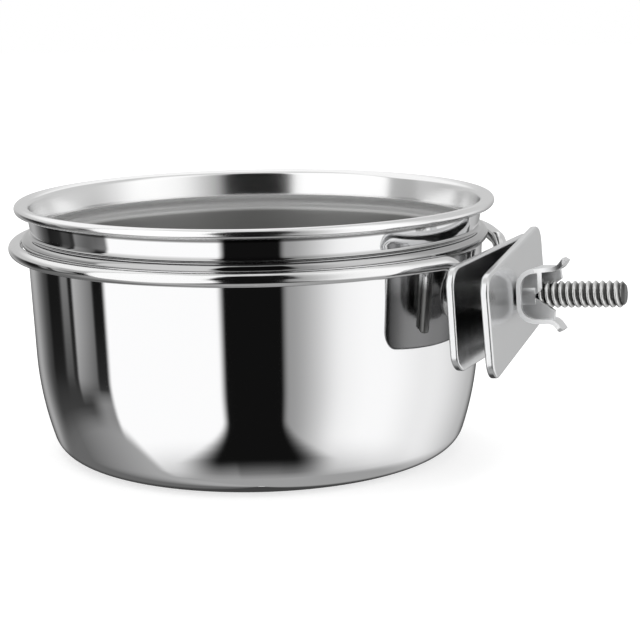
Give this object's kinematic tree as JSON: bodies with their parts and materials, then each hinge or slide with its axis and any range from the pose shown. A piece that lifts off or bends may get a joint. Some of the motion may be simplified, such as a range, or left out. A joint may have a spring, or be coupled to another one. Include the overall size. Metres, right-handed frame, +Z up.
{
  "type": "seed cup",
  "caption": "Polished steel seed cup that hangs by its bead in a wire ring, with a bolt clamp and wing nut that grip cage bars.",
  "frame": {"origin": "Centre of the cup's base, on the table.", "axes": "+Z is up. +X points from the cup's axis to the clamp. +Y completes a right-handed frame."},
  "size_m": [0.1571, 0.1234, 0.0635],
  "materials": {
    "cup_steel": "drawn stainless steel, mirror polished outside and satin inside",
    "wire_steel": "bright drawn wire",
    "plate_steel": "satin pressed plate",
    "bolt_steel": "bright rolled thread",
    "nut_steel": "bright pressed sheet"
  },
  "bodies": {
    "holder": {"ring_wire": "wire_steel", "inner_plate": "plate_steel", "bolt": "bolt_steel"},
    "cup_body": {"cup": "cup_steel"},
    "jaw": {"outer_plate": "plate_steel"},
    "nut": {"wing_nut": "nut_steel"}
  },
  "joints": [
    {"name": "cup_lift", "type": "slide", "parent": "holder", "child": "cup_body", "axis": [0, 0, 1], "range_m": [0, 0.06]},
    {"name": "jaw_slide", "type": "slide", "parent": "holder", "child": "jaw", "axis": [0.9977, 0, 0.068], "range_m": [0, 0.0165]},
    {"name": "nut_turn", "type": "hinge", "parent": "jaw", "child": "nut", "pos_m": [0.0623, 0, 0.0419], "axis": [0.9977, 0, 0.068], "range_deg": [0, 3600]}
  ],
  "couplings": [
    {"joint": "nut_turn", "follows": "jaw_slide", "rad_per_m": 3808}
  ]
}
